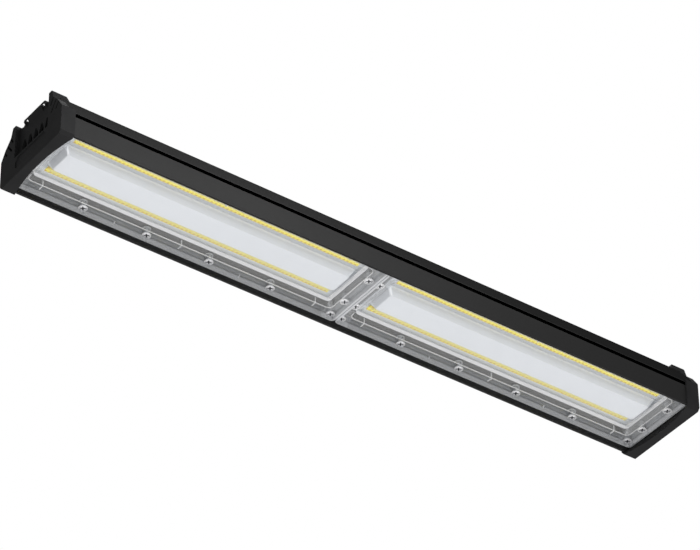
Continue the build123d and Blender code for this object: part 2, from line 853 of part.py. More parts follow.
def make_gland_dome():
    """The domed nut that squeezes the seal of the gland."""
    bottom = lid_top + gland_seal_thickness + gland_nut_height
    dome = upright(gland_nut_width / 2, bottom, bottom + gland_dome_height)
    dome = fillet(dome.edges().group_by(Axis.Z)[-1], gland_dome_radius)
    dome -= upright(gland_bore_radius, bottom, bottom + gland_dome_height)
    return Pos(gland_from_middle, 0, 0) * dome


def make_gland_seal():
    seal = upright(gland_nut_width / 2, lid_top, lid_top + gland_seal_thickness)
    return Pos(gland_from_middle, 0, 0) * (seal - upright(gland_radius + screw_clearance, lid_top, lid_top + gland_seal_thickness))


def make_gland_locknut():
    nut = Plane.XY.offset(lid_bottom - gland_lock_height) * RegularPolygon(gland_nut_width / 2, 6, major_radius=False)
    nut = extrude(nut, gland_lock_height)
    nut -= upright(gland_radius + screw_clearance, lid_bottom - gland_lock_height, lid_bottom)
    return Pos(gland_from_middle, 0, 0) * nut


def make_grommet(side):
    """A rubber bush in the hole through which the leads reach a board."""
    bush = upright(wire_hole_radius - screw_clearance, base_bottom, base_top)
    bush += upright(wire_hole_radius + grommet_flange_reach, base_top, base_top + grommet_flange_height)
    bush -= upright(grommet_bore_radius, base_bottom, base_top + grommet_flange_height)
    return Pos(wire_hole_place(side), 0, 0) * bush


def at_both_sides(name, maker):
    """The pieces of the right-hand side and their mirror images at the left-hand side."""
    right = maker()
    solids = right if isinstance(right, list) else [right]
    left = [mirror(solid, about=Plane.YZ) for solid in solids]
    return {f"{name}_right": solids, f"{name}_left": left}


def over_both_modules(name, maker):
    """Copies of a piece at the middles of the two modules."""
    made = maker()
    solids = made if isinstance(made, list) else [made]
    nodes = {}
    for side_name, side in sides.items():
        nodes[f"{name}_{side_name}"] = [Pos(side * cover_middle, 0, 0) * solid for solid in solids]
    return nodes


nodes = {"housing": [make_housing()]}
nodes |= at_both_sides("end_cap", make_cap)
nodes |= at_both_sides("end_cap_screws", make_cap_screws)
nodes |= at_both_sides("hanging_plate", make_plate)
nodes |= at_both_sides("hanging_plate_screws", make_plate_screws)
nodes |= at_both_sides("clamp_bar", make_bar)
nodes |= over_both_modules("clear_cover", make_cover)
nodes |= over_both_modules("cover_screws", make_cover_screws)
nodes |= over_both_modules("gasket", make_gasket)
nodes |= over_both_modules("led_board", make_board)
nodes |= over_both_modules("led_row_near", lambda: make_leds(-1))
nodes |= over_both_modules("led_row_far", lambda: make_leds(1))
nodes |= over_both_modules("reflector", make_reflector)
nodes["driver_left"] = [Pos(-driver_middle, 0, 0) * make_driver()]
nodes["driver_right"] = [Pos(driver_middle, 0, 0) * make_driver()]
nodes["driver_screws"] = make_driver_screws()
nodes["connector_block"] = [make_connector_block()]
nodes["channel_lid"] = [make_lid()]
nodes["channel_lid_screws"] = make_lid_screws()
nodes["gland_body"] = [make_gland_body()]
nodes["gland_dome_nut"] = [make_gland_dome()]
nodes["gland_seal"] = [make_gland_seal()]
nodes["gland_locknut"] = [make_gland_locknut()]
nodes["grommet_left"] = [make_grommet(-1)]
nodes["grommet_right"] = [make_grommet(1)]

os.makedirs("parts", exist_ok=True)
for name, solids in nodes.items():
    shape = solids[0] if len(solids) == 1 else Compound(children=solids)
    shape.label = name
    export_step(shape, f"parts/{name}.step")
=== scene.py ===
import bpy
from mathutils import Matrix, Vector


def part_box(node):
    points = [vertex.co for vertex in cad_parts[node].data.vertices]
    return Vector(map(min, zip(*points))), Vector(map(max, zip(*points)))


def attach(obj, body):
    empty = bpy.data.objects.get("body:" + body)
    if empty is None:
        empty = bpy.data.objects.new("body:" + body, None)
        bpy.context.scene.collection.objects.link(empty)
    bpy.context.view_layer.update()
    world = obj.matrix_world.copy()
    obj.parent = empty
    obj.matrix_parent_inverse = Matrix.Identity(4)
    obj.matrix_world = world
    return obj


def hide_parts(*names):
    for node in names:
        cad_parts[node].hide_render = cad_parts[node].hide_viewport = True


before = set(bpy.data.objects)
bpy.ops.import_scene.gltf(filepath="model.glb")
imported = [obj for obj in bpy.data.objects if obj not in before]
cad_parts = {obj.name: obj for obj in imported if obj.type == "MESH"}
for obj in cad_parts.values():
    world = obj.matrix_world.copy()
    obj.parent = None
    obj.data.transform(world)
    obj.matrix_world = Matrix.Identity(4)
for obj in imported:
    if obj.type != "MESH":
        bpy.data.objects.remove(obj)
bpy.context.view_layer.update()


# Housing: one drawn aluminium extrusion with two skirts, a groove along each side, stepped cooling fins
# and a channel for the drivers. It is powder coated black, with a very fine even grain.

groove_height = 0.02695
groove_half_width = 0.0020
fin_foot = 0.0297
coat_tone = 0.0155
coat_cloud_tone = 0.003
painted_fin_shade = 0.35
coat_gloss = 0.12
coat_cloud_size = 0.03
coat_grain_size = 0.0006
coat_grain_height = 0.00002


def new_material(name, colour, roughness, metallic=0.0, gloss=0.5):
    """A Principled material with Object coordinates at hand for its patterns."""
    material = bpy.data.materials.new(name)
    material.use_nodes = True
    nodes = material.node_tree.nodes
    shader = nodes["Principled BSDF"]
    shader.inputs["Base Color"].default_value = (*colour, 1.0)
    shader.inputs["Roughness"].default_value = roughness
    shader.inputs["Metallic"].default_value = metallic
    shader.inputs["Specular IOR Level"].default_value = gloss
    place = nodes.new("ShaderNodeTexCoord")
    return material, shader, place.outputs["Object"]


def noise(material, place, size, detail=2.0, stretch=(1.0, 1.0, 1.0)):
    """A noise whose patches are about size metres across, stretched along the axes."""
    nodes = material.node_tree.nodes
    links = material.node_tree.links
    mapping = nodes.new("ShaderNodeMapping")
    mapping.inputs["Scale"].default_value = Vector(stretch) / size
    links.new(place, mapping.inputs["Vector"])
    pattern = nodes.new("ShaderNodeTexNoise")
    pattern.inputs["Scale"].default_value = 1.0
    pattern.inputs["Detail"].default_value = detail
    links.new(mapping.outputs["Vector"], pattern.inputs["Vector"])
    return pattern.outputs["Fac"]


def spread(material, pattern, low, high):
    """The pattern, stretched so that it runs from low to high."""
    stretch = material.node_tree.nodes.new("ShaderNodeMapRange")
    stretch.inputs["To Min"].default_value = low
    stretch.inputs["To Max"].default_value = high
    material.node_tree.links.new(pattern, stretch.inputs["Value"])
    return stretch.outputs["Result"]


def vary_roughness(material, shader, pattern, low, high):
    """The pattern carries the roughness from low to high."""
    material.node_tree.links.new(spread(material, pattern, low, high), shader.inputs["Roughness"])


def add_relief(material, shader, pattern, height):
    """The pattern raises the surface by up to height metres."""
    bump = material.node_tree.nodes.new("ShaderNodeBump")
    bump.inputs["Strength"].default_value = 1.0
    bump.inputs["Distance"].default_value = height
    material.node_tree.links.new(pattern, bump.inputs["Height"])
    material.node_tree.links.new(bump.outputs["Normal"], shader.inputs["Normal"])


def sum_of(owner, operation, *values):
    """The result of one sum in a material or the world; each value is a number or a socket."""
    node = owner.node_tree.nodes.new("ShaderNodeMath")
    node.operation = operation
    for socket, value in zip(node.inputs, values):
        if isinstance(value, (int, float)):
            socket.default_value = value
        else:
            owner.node_tree.links.new(value, socket)
    return node.outputs["Value"]


def axis_of(material, place, axis):
    """The X, Y or Z of the place."""
    split = material.node_tree.nodes.new("ShaderNodeSeparateXYZ")
    material.node_tree.links.new(place, split.inputs["Vector"])
    return split.outputs[axis]


def distance(material, along, centre):
    """How far a place lies from the centre, along one axis."""
    return sum_of(material, "ABSOLUTE", sum_of(material, "SUBTRACT", along, centre))


def dress(node, material):
    """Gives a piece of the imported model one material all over."""
    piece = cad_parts[node]
    piece.data.materials.clear()
    piece.data.materials.append(material)


# painted shade: the side grooves are painted black and lose their gloss, and the fins above them are painted
# darker, for the shade they lie in
painted_shade_coat, grooved_shader, grooved_place = new_material(
    "black_powder_coat_painted_shade", colour=(0.021, 0.021, 0.022), roughness=0.5, gloss=coat_gloss)
coat_height = axis_of(painted_shade_coat, grooved_place, "Z")
from_groove = distance(painted_shade_coat, coat_height, groove_height)
off_painted_groove_shade = sum_of(painted_shade_coat, "GREATER_THAN", from_groove, groove_half_width)
coat_clouds = noise(painted_shade_coat, grooved_place, coat_cloud_size)
cloudy_tone = sum_of(painted_shade_coat, "MULTIPLY_ADD", coat_clouds, coat_cloud_tone, coat_tone)
# painted shade: above the foot of the fins the coat is painted darker
under_painted_fin_shade = sum_of(painted_shade_coat, "LESS_THAN", coat_height, fin_foot)
painted_fin_shade_tone = sum_of(painted_shade_coat, "MULTIPLY_ADD", under_painted_fin_shade, 1 - painted_fin_shade, painted_fin_shade)
open_tone = sum_of(painted_shade_coat, "MULTIPLY", cloudy_tone, off_painted_groove_shade)
shaded_tone = sum_of(painted_shade_coat, "MULTIPLY", open_tone, painted_fin_shade_tone)
coat_grey = painted_shade_coat.node_tree.nodes.new("ShaderNodeCombineColor")
for channel in ("Red", "Green", "Blue"):
    painted_shade_coat.node_tree.links.new(shaded_tone, coat_grey.inputs[channel])
painted_shade_coat.node_tree.links.new(coat_grey.outputs["Color"], grooved_shader.inputs["Base Color"])
shine_off_painted_groove_shade = sum_of(painted_shade_coat, "MULTIPLY", off_painted_groove_shade, coat_gloss)
painted_shade_coat.node_tree.links.new(shine_off_painted_groove_shade, grooved_shader.inputs["Specular IOR Level"])
coat_grain = noise(painted_shade_coat, grooved_place, coat_grain_size, detail=3.0)
vary_roughness(painted_shade_coat, grooved_shader, coat_grain, low=0.42, high=0.58)
add_relief(painted_shade_coat, grooved_shader, coat_grain, coat_grain_height)
dress("housing", painted_shade_coat)


# Drivers: closed cases of satin drawn aluminium, one for each half, which feed the boards with a steady
# current. Small zinc plated steel screws hold them on the floor of the channel.

sides = ("left", "right")


def vary_colour(material, shader, pattern, dark, light):
    """The pattern carries the base colour from dark to light."""
    ramp = material.node_tree.nodes.new("ShaderNodeValToRGB")
    dark_end, light_end = ramp.color_ramp.elements
    dark_end.position = 0.3
    dark_end.color = (*dark, 1.0)
    light_end.position = 0.7
    light_end.color = (*light, 1.0)
    material.node_tree.links.new(pattern, ramp.inputs["Fac"])
    material.node_tree.links.new(ramp.outputs["Color"], shader.inputs["Base Color"])


driver_metal, driver_shader, driver_place = new_material(
    "satin_driver_case", colour=(0.6, 0.6, 0.61), roughness=0.4, metallic=1.0)
drawn_lines = noise(driver_metal, driver_place, size=0.0008, stretch=(0.05, 1.0, 1.0))
vary_roughness(driver_metal, driver_shader, drawn_lines, low=0.3, high=0.5)

bright_zinc, zinc_shader, zinc_place = new_material(
    "bright_zinc", colour=(0.72, 0.72, 0.74), roughness=0.25, metallic=1.0)
zinc_grain = noise(bright_zinc, zinc_place, size=0.0007)
vary_colour(bright_zinc, zinc_shader, zinc_grain, dark=(0.62, 0.62, 0.64), light=(0.80, 0.80, 0.82))
vary_roughness(bright_zinc, zinc_shader, zinc_grain, low=0.18, high=0.36)

for side in sides:
    dress(f"driver_{side}", driver_metal)
dress("driver_screws", bright_zinc)


# Connector block: a pale moulded block with push-in contacts, which joins the supply to the drivers.
# It stands on the floor of the channel, half way along.

block_plastic, block_shader, block_place = new_material(
    "pale_connector_plastic", colour=(0.65, 0.65, 0.62), roughness=0.4)
block_grain = noise(block_plastic, block_place, size=0.001)
vary_roughness(block_plastic, block_shader, block_grain, low=0.35, high=0.5)
dress("connector_block", block_plastic)


# Grommets: two black rubber bushes, pressed into the holes that lead from the channel down to the boards,
# so that no sharp edge meets the leads.

rubber, rubber_shader, rubber_place = new_material(
    "black_rubber", colour=(0.018, 0.018, 0.018), roughness=0.7)
rubber_grain = noise(rubber, rubber_place, size=0.0006)
add_relief(rubber, rubber_shader, rubber_grain, height=0.00003)
for side in sides:
    dress(f"grommet_{side}", rubber)


# Channel lid: one long sheet of steel, folded and powder coated black like the housing. It closes the
# channel from above, and small zinc plated screws along both sides hold it.

powder_coat, powder_shader, powder_place = new_material(
    "black_powder_coat", colour=(0.017, 0.017, 0.018), roughness=0.5, gloss=0.08)
powder_grain = noise(powder_coat, powder_place, coat_grain_size, detail=3.0)
powder_clouds = noise(powder_coat, powder_place, coat_cloud_size)
vary_colour(powder_coat, powder_shader, powder_clouds,
            dark=(0.016, 0.016, 0.017), light=(0.019, 0.019, 0.020))
vary_roughness(powder_coat, powder_shader, powder_grain, low=0.42, high=0.58)
add_relief(powder_coat, powder_shader, powder_grain, coat_grain_height)
dress("channel_lid", powder_coat)
dress("channel_lid_screws", bright_zinc)


# Supply gland: a black nylon body through the lid, with a locknut below it and a dome nut above, which
# squeezes the supply cord. A rubber ring seals the body on the lid.

nylon, nylon_shader, nylon_place = new_material("black_nylon", colour=(0.025, 0.025, 0.026), roughness=0.35)
nylon_grain = noise(nylon, nylon_place, size=0.001)
vary_roughness(nylon, nylon_shader, nylon_grain, low=0.3, high=0.45)
for node in ("gland_body", "gland_dome_nut", "gland_locknut"):
    dress(node, nylon)
dress("gland_seal", rubber)


# Hanging plates: a pressed steel plate at each end, powder coated black, whose hole takes the hook that
# the fixture hangs by. Two screws clamp each plate to a zinc plated bar inside the channel.

for side in sides:
    dress(f"hanging_plate_{side}", powder_coat)
    dress(f"hanging_plate_screws_{side}", bright_zinc)
    dress(f"clamp_bar_{side}", bright_zinc)


# Boards: two aluminium circuit boards with a white, slightly glossy solder mask, one for each half.
# They lie flat on the base of the housing, which takes their heat.

reflector_shade_reach = 0.0225


def mixed_colour(material, share, first, second):
    """The first colour, which gives way to the second as the share grows; the second may be a socket."""
    mix = material.node_tree.nodes.new("ShaderNodeMixRGB")
    mix.inputs["Color1"].default_value = (*first, 1.0)
    if isinstance(second, tuple):
        mix.inputs["Color2"].default_value = (*second, 1.0)
    else:
        material.node_tree.links.new(second, mix.inputs["Color2"])
    material.node_tree.links.new(share, mix.inputs["Fac"])
    return mix.outputs["Color"]


white_mask, mask_shader, mask_place = new_material(
    "white_solder_mask", colour=(0.74, 0.76, 0.79), roughness=0.38)
mask_clouds = noise(white_mask, mask_place, size=0.01)
vary_roughness(white_mask, mask_shader, mask_clouds, low=0.32, high=0.44)
# painted shade: the strip between the reflector and the rows is painted darker, for the reflector's shade on
# it
from_ridge = sum_of(white_mask, "ABSOLUTE", axis_of(white_mask, mask_place, "Y"))
in_painted_shade = sum_of(white_mask, "LESS_THAN", from_ridge, reflector_shade_reach)
mask_colour = mixed_colour(white_mask, in_painted_shade, first=(0.80, 0.82, 0.84), second=(0.56, 0.58, 0.61))
white_mask.node_tree.links.new(mask_colour, mask_shader.inputs["Base Color"])
for side in sides:
    dress(f"led_board_{side}", white_mask)


# Light-emitting packages: 72 in a row, white frames filled with yellow phosphor gel and soldered to the
# board. The strip lens of the cover widens them to one yellow band, bright along its middle and dotted
# along its edges.

dot_pitch = 0.00427
bright_half_width = 0.0013
painted_gel_glow = 0.22
strip_rounding = 0.0002
lengthened_end = 0.0014
strip_edges = {"near": (-0.0045, 0.0023), "far": (-0.0053, 0.0016)}
smooth_angle = 0.6


def phosphor_material(name, strip_middle):
    """Yellow gel, bright along its middle, with dots at the pitch of the packages along both edges."""
    material, shader, place = new_material(name, colour=(0.80, 0.66, 0.15), roughness=0.4)
    links = material.node_tree.links
    dot_count = sum_of(material, "MULTIPLY", axis_of(material, place, "X"), 1 / dot_pitch)
    between_dots = sum_of(material, "LESS_THAN", sum_of(material, "FRACT", dot_count), 0.5)
    off_middle = distance(material, axis_of(material, place, "Y"), strip_middle)
    at_edge = sum_of(material, "GREATER_THAN", off_middle, bright_half_width)
    dots = mixed_colour(material, between_dots, first=(0.84, 0.70, 0.03), second=(0.60, 0.40, 0.03))
    band = mixed_colour(material, at_edge, first=(0.93, 0.79, 0.02), second=dots)
    links.new(band, shader.inputs["Base Color"])
    # painted glow: the gel gives off a faint light of its own, which brightens the yellow band
    links.new(band, shader.inputs["Emission Color"])
    shader.inputs["Emission Strength"].default_value = painted_gel_glow
    vary_roughness(material, shader, noise(material, place, size=0.0015), low=0.35, high=0.5)
    return material


def soft_bar(name, low, high, rounding):
    """A bar between two corners with rounded edges."""
    bpy.ops.mesh.primitive_cube_add(size=1.0, location=(0.0, 0.0, 0.0))
    bar = bpy.context.object
    bar.name = name
    bpy.ops.object.mode_set(mode="EDIT")
    bpy.ops.mesh.select_all(action="SELECT")
    bpy.ops.transform.resize(value=[end - start for start, end in zip(low, high)])
    bpy.ops.transform.translate(value=[(end + start) / 2 for start, end in zip(low, high)])
    bpy.ops.mesh.bevel(offset=rounding, segments=3, affect="EDGES")
    bpy.ops.object.mode_set(mode="OBJECT")
    bpy.ops.object.shade_smooth_by_angle(angle=smooth_angle)
    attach(bar, "root")
    return bar


def paint(piece, material):
    """Gives a new piece one material all over."""
    piece.data.materials.clear()
    piece.data.materials.append(material)


for side in sides:
    for row, (upper_edge, lower_edge) in strip_edges.items():
        low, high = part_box(f"led_row_{row}_{side}")
        row_middle = (low[1] + high[1]) / 2
        strip_low = (low[0], row_middle + upper_edge, low[2])
        strip_high = (high[0] + lengthened_end, row_middle + lower_edge, high[2])
        strip = soft_bar(f"led_strip_{row}_{side}", strip_low, strip_high, strip_rounding)
        strip_middle = row_middle + (upper_edge + lower_edge) / 2
        paint(strip, phosphor_material(f"yellow_phosphor_{row}_{side}", strip_middle))
        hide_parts(f"led_row_{row}_{side}")


# Ridge reflectors: white moulded plastic trays, smooth and matt, which stand upside down on the boards
# between the rows and throw the light out.

glow_reach = 0.02
glow_ends = ((0.0, 0.0), (1.0, 0.05))
glow_steps = ((0.60, 0.0), (0.66, 0.20), (0.76, 0.10))


def softened(node, name, width, segments, angle):
    """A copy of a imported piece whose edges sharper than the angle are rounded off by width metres."""
    merge_distance = 0.000002
    flat_angle = 0.01
    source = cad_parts[node]
    copy = source.copy()
    copy.data = source.data.copy()
    copy.name = name
    bpy.context.collection.objects.link(copy)
    bpy.ops.object.select_all(action="DESELECT")
    copy.select_set(True)
    bpy.context.view_layer.objects.active = copy
    bpy.ops.object.mode_set(mode="EDIT")
    bpy.ops.mesh.select_all(action="SELECT")
    bpy.ops.mesh.remove_doubles(threshold=merge_distance)
    bpy.ops.mesh.dissolve_limited(angle_limit=flat_angle)
    bpy.ops.mesh.normals_make_consistent(inside=False)
    bpy.ops.object.mode_set(mode="OBJECT")
    bevel = copy.modifiers.new("rounded_edges", "BEVEL")
    bevel.width = width
    bevel.segments = segments
    bevel.limit_method = "ANGLE"
    bevel.angle_limit = angle
    bpy.ops.object.modifier_apply(modifier=bevel.name)
    bpy.ops.object.shade_smooth_by_angle(angle=angle / 2)
    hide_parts(node)
    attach(copy, "root")
    return copy


ridge_white, ridge_shader, ridge_place = new_material(
    "white_reflector_plastic_painted_glow", colour=(0.88, 0.89, 0.91), roughness=0.5)
ridge_clouds = noise(ridge_white, ridge_place, size=0.02)
vary_colour(ridge_white, ridge_shader, ridge_clouds, dark=(0.87, 0.88, 0.90), light=(0.89, 0.90, 0.92))
vary_roughness(ridge_white, ridge_shader, ridge_clouds, low=0.45, high=0.55)
# painted light: the slopes of the reflector glow faintly, in place of light scattered inside the cover
painted_slope_glow = ridge_white.node_tree.nodes.new("ShaderNodeFloatCurve")
glow_curve = painted_slope_glow.mapping.curves[0]
for point, end in zip(glow_curve.points, glow_ends):
    point.location = end
for step in glow_steps:
    glow_curve.points.new(*step)
for point in glow_curve.points:
    point.handle_type = "VECTOR"
painted_slope_glow.mapping.update()
off_middle = sum_of(ridge_white, "ABSOLUTE", axis_of(ridge_white, ridge_place, "Y"))
reach_share = sum_of(ridge_white, "MULTIPLY", off_middle, 1 / glow_reach)
ridge_white.node_tree.links.new(reach_share, painted_slope_glow.inputs["Value"])
ridge_shader.inputs["Emission Color"].default_value = (0.92, 0.95, 1.0, 1.0)
ridge_white.node_tree.links.new(painted_slope_glow.outputs["Value"], ridge_shader.inputs["Emission Strength"])
for side in sides:
    ridge = softened(f"reflector_{side}", f"ridge_reflector_{side}", width=0.0018, segments=4, angle=0.35)
    paint(ridge, ridge_white)


# Gaskets: flat rings of grey silicone foam, cut from sheet. The cover screws press one between each
# cover and the base of the housing, which keeps dust and water out.

silicone, silicone_shader, silicone_place = new_material(
    "grey_silicone", colour=(0.085, 0.082, 0.075), roughness=0.7)
silicone_pores = noise(silicone, silicone_place, size=0.0012, detail=4.0)
vary_colour(silicone, silicone_shader, silicone_pores,
            dark=(0.080, 0.077, 0.070), light=(0.092, 0.088, 0.080))
add_relief(silicone, silicone_shader, silicone_pores, height=0.00006)
for side in sides:
    dress(f"gasket_{side}", silicone)


# Clear covers: two polycarbonate mouldings, one over each half, screwed to the housing all round.
# Each has a rim lip, a basin with a flat window, strip lenses and a raised middle.

cover_middle = {}
for side in sides:
    low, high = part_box(f"clear_cover_{side}")
    cover_middle[side] = (low[0] + high[0]) / 2
cover_half_length = (high[0] - low[0]) / 2
cover_half_width = (high[1] - low[1]) / 2
flange_width = 0.0146
rim_width = 0.0021
lip_width = 0.0022
flange_underside = 0.01255
tab_reach = 0.1000
flange_milk = 0.012
end_milk = 0.11
rim_milk = 0.42
tab_milk = 0.4
skin_roughness = 0.06
straight_mirror = 0.066


def blend(owner, share, first, second):
    """The first shader, which gives way to the second as the share grows."""
    mix = owner.node_tree.nodes.new("ShaderNodeMixShader")
    owner.node_tree.links.new(share, mix.inputs["Fac"])
    owner.node_tree.links.new(first, mix.inputs[1])
    owner.node_tree.links.new(second, mix.inputs[2])
    return mix.outputs["Shader"]


clear_plastic, clear_shader, clear_place = new_material(
    "clear_polycarbonate", colour=(0.9, 0.9, 0.9), roughness=skin_roughness)
clear_nodes = clear_plastic.node_tree.nodes
clear_nodes.remove(clear_shader)

# the wall is see-through and milky where it is thick: on the flange, its ends, its rim and its tabs
see_through = clear_nodes.new("ShaderNodeBsdfTransparent")
see_through.inputs["Color"].default_value = (0.97, 0.975, 0.98, 1.0)
milk = clear_nodes.new("ShaderNodeBsdfDiffuse")
milk.inputs["Color"].default_value = (0.85, 0.86, 0.88, 1.0)
across = sum_of(clear_plastic, "ABSOLUTE", axis_of(clear_plastic, clear_place, "Y"))
from_fixture_middle = sum_of(clear_plastic, "ABSOLUTE", axis_of(clear_plastic, clear_place, "X"))
along = distance(clear_plastic, from_fixture_middle, cover_middle["right"])
beside = sum_of(clear_plastic, "GREATER_THAN", across, cover_half_width - flange_width)
beyond = sum_of(clear_plastic, "GREATER_THAN", along, cover_half_length - flange_width)
on_flange = sum_of(clear_plastic, "MAXIMUM", beside, beyond)
on_side_rim = sum_of(clear_plastic, "GREATER_THAN", across, cover_half_width - rim_width)
on_end_rim = sum_of(clear_plastic, "GREATER_THAN", along, cover_half_length - rim_width)
on_rim = sum_of(clear_plastic, "MAXIMUM", on_side_rim, on_end_rim)
below = sum_of(clear_plastic, "LESS_THAN", axis_of(clear_plastic, clear_place, "Z"), flange_underside)
inside_lip = sum_of(clear_plastic, "LESS_THAN", across, cover_half_width - lip_width)
near_middle = sum_of(clear_plastic, "LESS_THAN", along, tab_reach)
on_tabs = beside
for limit in (below, inside_lip, near_middle):
    on_tabs = sum_of(clear_plastic, "MULTIPLY", on_tabs, limit)
milky_regions = ((on_flange, flange_milk), (beyond, end_milk), (on_rim, rim_milk), (on_tabs, tab_milk))
milkiness = 0.0
for region, strength in milky_regions:
    milkiness = sum_of(clear_plastic, "MULTIPLY_ADD", region, strength, milkiness)
wall = blend(clear_plastic, milkiness, see_through.outputs["BSDF"], milk.outputs["BSDF"])

# its skin mirrors more towards grazing angles
skin = clear_nodes.new("ShaderNodeBsdfGlossy")
skin.inputs["Color"].default_value = (1.0, 1.0, 1.0, 1.0)
haze = noise(clear_plastic, clear_place, size=0.004)
vary_roughness(clear_plastic, skin, haze, low=skin_roughness, high=2 * skin_roughness)
turned_away = clear_nodes.new("ShaderNodeLayerWeight")
turned_away.inputs["Blend"].default_value = 0.5
grazing = sum_of(clear_plastic, "POWER", turned_away.outputs["Facing"], 5.0)
mirror = spread(clear_plastic, grazing, low=straight_mirror, high=1.0)
clear_surface = blend(clear_plastic, mirror, wall, skin.outputs["BSDF"])
clear_plastic.node_tree.links.new(clear_surface, clear_nodes["Material Output"].inputs["Surface"])
for side in sides:
    dress(f"clear_cover_{side}", clear_plastic)


# Folds of the covers: painted highlights. Pale flat bars along the rounded fold round each window and the
# thin one at the foot of its wall stand in for the bright lines that these folds catch. The folds belong to
# the moulding.

window_inset_along = 0.0139
window_inset_across = 0.0131
window_corner = 0.0046
window_bar = 0.0043
window_fold_low = 0.0172
window_fold_high = 0.0178
foot_inset = 0.0103
foot_corner = 0.0054
foot_bar = 0.0005
foot_fold_low = 0.0121
foot_fold_high = 0.0126
cover_pitch = cover_middle["right"] - cover_middle["left"]
far_fold = cover_half_width - 0.0173
right_fold = cover_pitch / 2 + cover_half_length - 0.0187
right_fold_strength = 0.8
streak_depth = 0.08


def ring_bar(name, middle, half_length, half_width, corner, bar, low, high):
    """A closed flat bar round a rounded rectangle, whose half sizes are taken to the outside of the bar."""
    bpy.ops.mesh.primitive_plane_add(size=2.0, location=(0.0, 0.0, 0.0))
    ring = bpy.context.object
    ring.name = name
    bpy.ops.object.mode_set(mode="EDIT")
    bpy.ops.mesh.select_mode(type="VERT")
    bpy.ops.mesh.select_all(action="SELECT")
    bpy.ops.transform.resize(value=(half_length, half_width, 1.0))
    bpy.ops.transform.translate(value=(middle, 0.0, low))
    bpy.ops.mesh.bevel(offset=corner, segments=8, affect="VERTICES")
    bpy.ops.mesh.select_mode(type="FACE")
    bpy.ops.mesh.select_all(action="SELECT")
    bpy.ops.mesh.inset(thickness=bar, depth=0.0)
    bpy.ops.mesh.delete(type="FACE")
    bpy.ops.object.mode_set(mode="OBJECT")
    thick = ring.modifiers.new("thickness", "SOLIDIFY")
    thick.thickness = high - low
    thick.offset = 1.0
    bpy.ops.object.modifier_apply(modifier=thick.name)
    bpy.ops.object.mode_set(mode="EDIT")
    bpy.ops.mesh.select_all(action="SELECT")
    bpy.ops.mesh.normals_make_consistent(inside=False)
    bpy.ops.object.mode_set(mode="OBJECT")
    bpy.ops.object.shade_smooth_by_angle(angle=smooth_angle)
    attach(ring, "root")
    return ring


def fold_highlight_material(name, white, share, faint):
    """A painted highlight on clear plastic, strong on the far side and at the right end, faint elsewhere."""
    material, shader, place = new_material(name, white, roughness=0.2)
    nodes = material.node_tree.nodes
    see_through = nodes.new("ShaderNodeBsdfTransparent")
    streaks = noise(material, place, size=0.006, stretch=(0.2, 1.0, 1.0))
    streaky_share = spread(material, streaks, low=share - streak_depth, high=share + streak_depth)
    far_side = sum_of(material, "GREATER_THAN", axis_of(material, place, "Y"), far_fold)
    shifted = sum_of(material, "ADD", axis_of(material, place, "X"), cover_pitch)
    right_end = sum_of(material, "GREATER_THAN", sum_of(material, "MODULO", shifted, cover_pitch), right_fold)
    right_strength = sum_of(material, "MULTIPLY", right_end, right_fold_strength)
    strength = sum_of(material, "MAXIMUM", sum_of(material, "MAXIMUM", far_side, right_strength), faint)
    # light passes through it, so that it throws no shadow on what lies behind
    ray = nodes.new("ShaderNodeLightPath")
    solid = sum_of(material, "SUBTRACT", 1.0, ray.outputs["Is Shadow Ray"])
    shown = sum_of(material, "MULTIPLY", sum_of(material, "MULTIPLY", strength, streaky_share), solid)
    surface = blend(material, shown, see_through.outputs["BSDF"], shader.outputs["BSDF"])
    material.node_tree.links.new(surface, nodes["Material Output"].inputs["Surface"])
    return material


window_fold_highlight = fold_highlight_material("polycarbonate_fold_painted_highlight", (0.90, 0.90, 0.91), share=0.68, faint=0.1)
foot_fold_highlight = fold_highlight_material("polycarbonate_foot_fold_painted_highlight", (0.95, 0.95, 0.95), share=0.6, faint=0.3)
for side in sides:
    window_highlight_bar = ring_bar(f"window_fold_{side}", cover_middle[side], cover_half_length - window_inset_along,
                    cover_half_width - window_inset_across, window_corner, window_bar, window_fold_low,
                    window_fold_high)
    paint(window_highlight_bar, window_fold_highlight)
    foot_highlight_bar = ring_bar(f"foot_fold_{side}", cover_middle[side], cover_half_length - foot_inset,
                    cover_half_width - foot_inset, foot_corner, foot_bar, foot_fold_low, foot_fold_high)
    paint(foot_highlight_bar, foot_fold_highlight)


# Ribs and boss rims of the covers: thin ribs stiffen the long flanges, a thin rim runs round each screw,
# and the bosses along the sides have a rounded one. All belong to the moulding and show as short pale
# strokes.

rib_places = (-0.148, 0.0, 0.148)
rib_half_thickness = 0.0004
upright_width = (0.0349, 0.0357)
upright_height = (0.0128, 0.0182)
foot_width = (0.0355, 0.0412)
foot_height = (0.0119, 0.0125)
screw_half_length = cover_half_length - 0.0059
screw_half_width = cover_half_width - 0.0042
end_screw_offset = 0.01896
screws_along = 6
boss_reach = 0.15
boss_least_offset = 0.03


def joined_boxes(name, boxes):
    """One piece made of upright boxes, each given by its low and high corner in metres."""
    bpy.ops.mesh.primitive_cube_add(size=1.0, location=(0.0, 0.0, 0.0))
    piece = bpy.context.object
    piece.name = name
    bpy.ops.object.mode_set(mode="EDIT")
    bpy.ops.mesh.select_all(action="SELECT")
    bpy.ops.mesh.delete(type="VERT")
    for low, high in boxes:
        bpy.ops.mesh.select_all(action="DESELECT")
        bpy.ops.mesh.primitive_cube_add(size=1.0, location=(0.0, 0.0, 0.0))
        bpy.ops.transform.resize(value=[end - start for start, end in zip(low, high)])
        bpy.ops.transform.translate(value=[(end + start) / 2 for start, end in zip(low, high)])
    bpy.ops.object.mode_set(mode="OBJECT")
    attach(piece, "root")
    return piece


